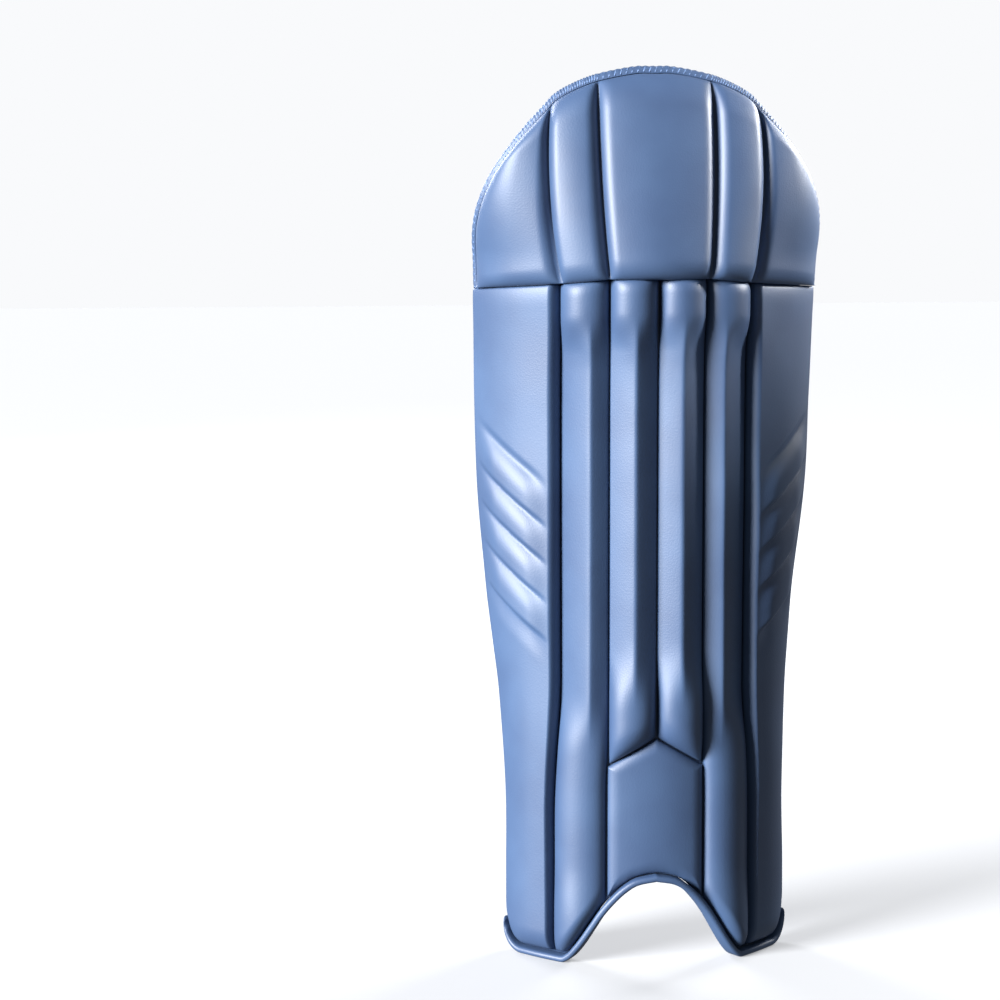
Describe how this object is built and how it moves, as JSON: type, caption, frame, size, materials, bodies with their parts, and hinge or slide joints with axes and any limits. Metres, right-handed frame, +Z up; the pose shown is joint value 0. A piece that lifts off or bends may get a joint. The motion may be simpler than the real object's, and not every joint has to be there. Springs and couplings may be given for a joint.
{
  "type": "wicket keeping pad",
  "caption": "Wicket keeping pad: blue padded leg guard with a ribbed shin, channelled knee dome, side wings, dark lining and two rear straps.",
  "frame": {"origin": "middle of the bounding box in plan, at the floor under the two feet", "axes": "+Z up the leg, +Y from the front to the open back, +X to the right seen from the front"},
  "size_m": [0.2392, 0.1216, 0.6105],
  "materials": {
    "shell": "satin coated cloth with a faint grain",
    "speckled_lining": "matte black with grey flecks",
    "nylon_lining": "smooth nylon with a low sheen",
    "air_mesh": "open knitted spacer mesh",
    "gloss_liner": "semi-gloss, finely crackled",
    "loop_band": "brushed loop cloth",
    "strap_mesh": "woven mesh"
  },
  "bodies": {
    "root": {"knee_dome": "shell", "top_edge_band": "shell", "shell_skin": "shell", "shin_roll_1": "shell", "shin_roll_2": "shell", "shin_roll_3": "shell", "shin_roll_4": "shell", "wing_left": "shell", "wing_right": "shell", "instep_panel": "shell", "hem_binding": "shell", "strap_upper_tab": "shell", "strap_lower_tab": "shell", "wing_lining_left": "nylon_lining", "wing_lining_right": "nylon_lining", "ankle_lining": "nylon_lining", "knee_cup_lining": "speckled_lining", "calf_bolster_left": "air_mesh", "calf_bolster_right": "air_mesh", "shin_bolster": "gloss_liner", "strap_upper_band": "loop_band", "strap_lower_band": "loop_band", "strap_upper_mesh": "strap_mesh", "strap_lower_mesh": "strap_mesh"}
  },
  "joints": []
}
